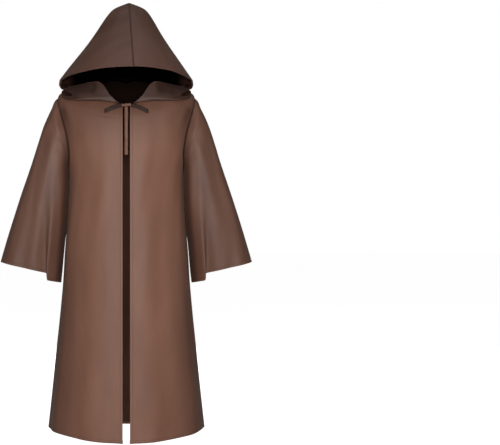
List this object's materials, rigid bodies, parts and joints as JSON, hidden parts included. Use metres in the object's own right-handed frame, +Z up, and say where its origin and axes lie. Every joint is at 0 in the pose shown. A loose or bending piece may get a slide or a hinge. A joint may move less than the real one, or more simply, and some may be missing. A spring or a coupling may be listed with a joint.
{
  "type": "hooded cape with sleeves",
  "caption": "Ankle-length hooded cape with wide bell sleeves, an open front and a bow tie at the neck, in its hollow worn form.",
  "frame": {"origin": "in the middle of the neckline at the height of the side of the neck, where the wearer's neck and shoulders hold the cape up", "axes": "+Z up, the open front faces -Y, +X towards the wearer's left"},
  "size_m": [0.9318, 0.4019, 1.602],
  "materials": {
    "body_cloth": "smooth woven, slight sheen",
    "sleeve_cloth": "smooth woven, slight sheen",
    "hood_cloth": "smooth woven, slight sheen",
    "tie_cloth": "smooth woven tape"
  },
  "bodies": {
    "root": {"back": "body_cloth", "front_right": "body_cloth", "front_left": "body_cloth", "sleeve_right": "sleeve_cloth", "sleeve_left": "sleeve_cloth", "hood_right": "hood_cloth", "hood_left": "hood_cloth", "tie_knot": "tie_cloth", "tie_tail_short": "tie_cloth", "tie_tail_long": "tie_cloth", "tie_loop_right": "tie_cloth", "tie_loop_left": "tie_cloth"}
  },
  "joints": []
}
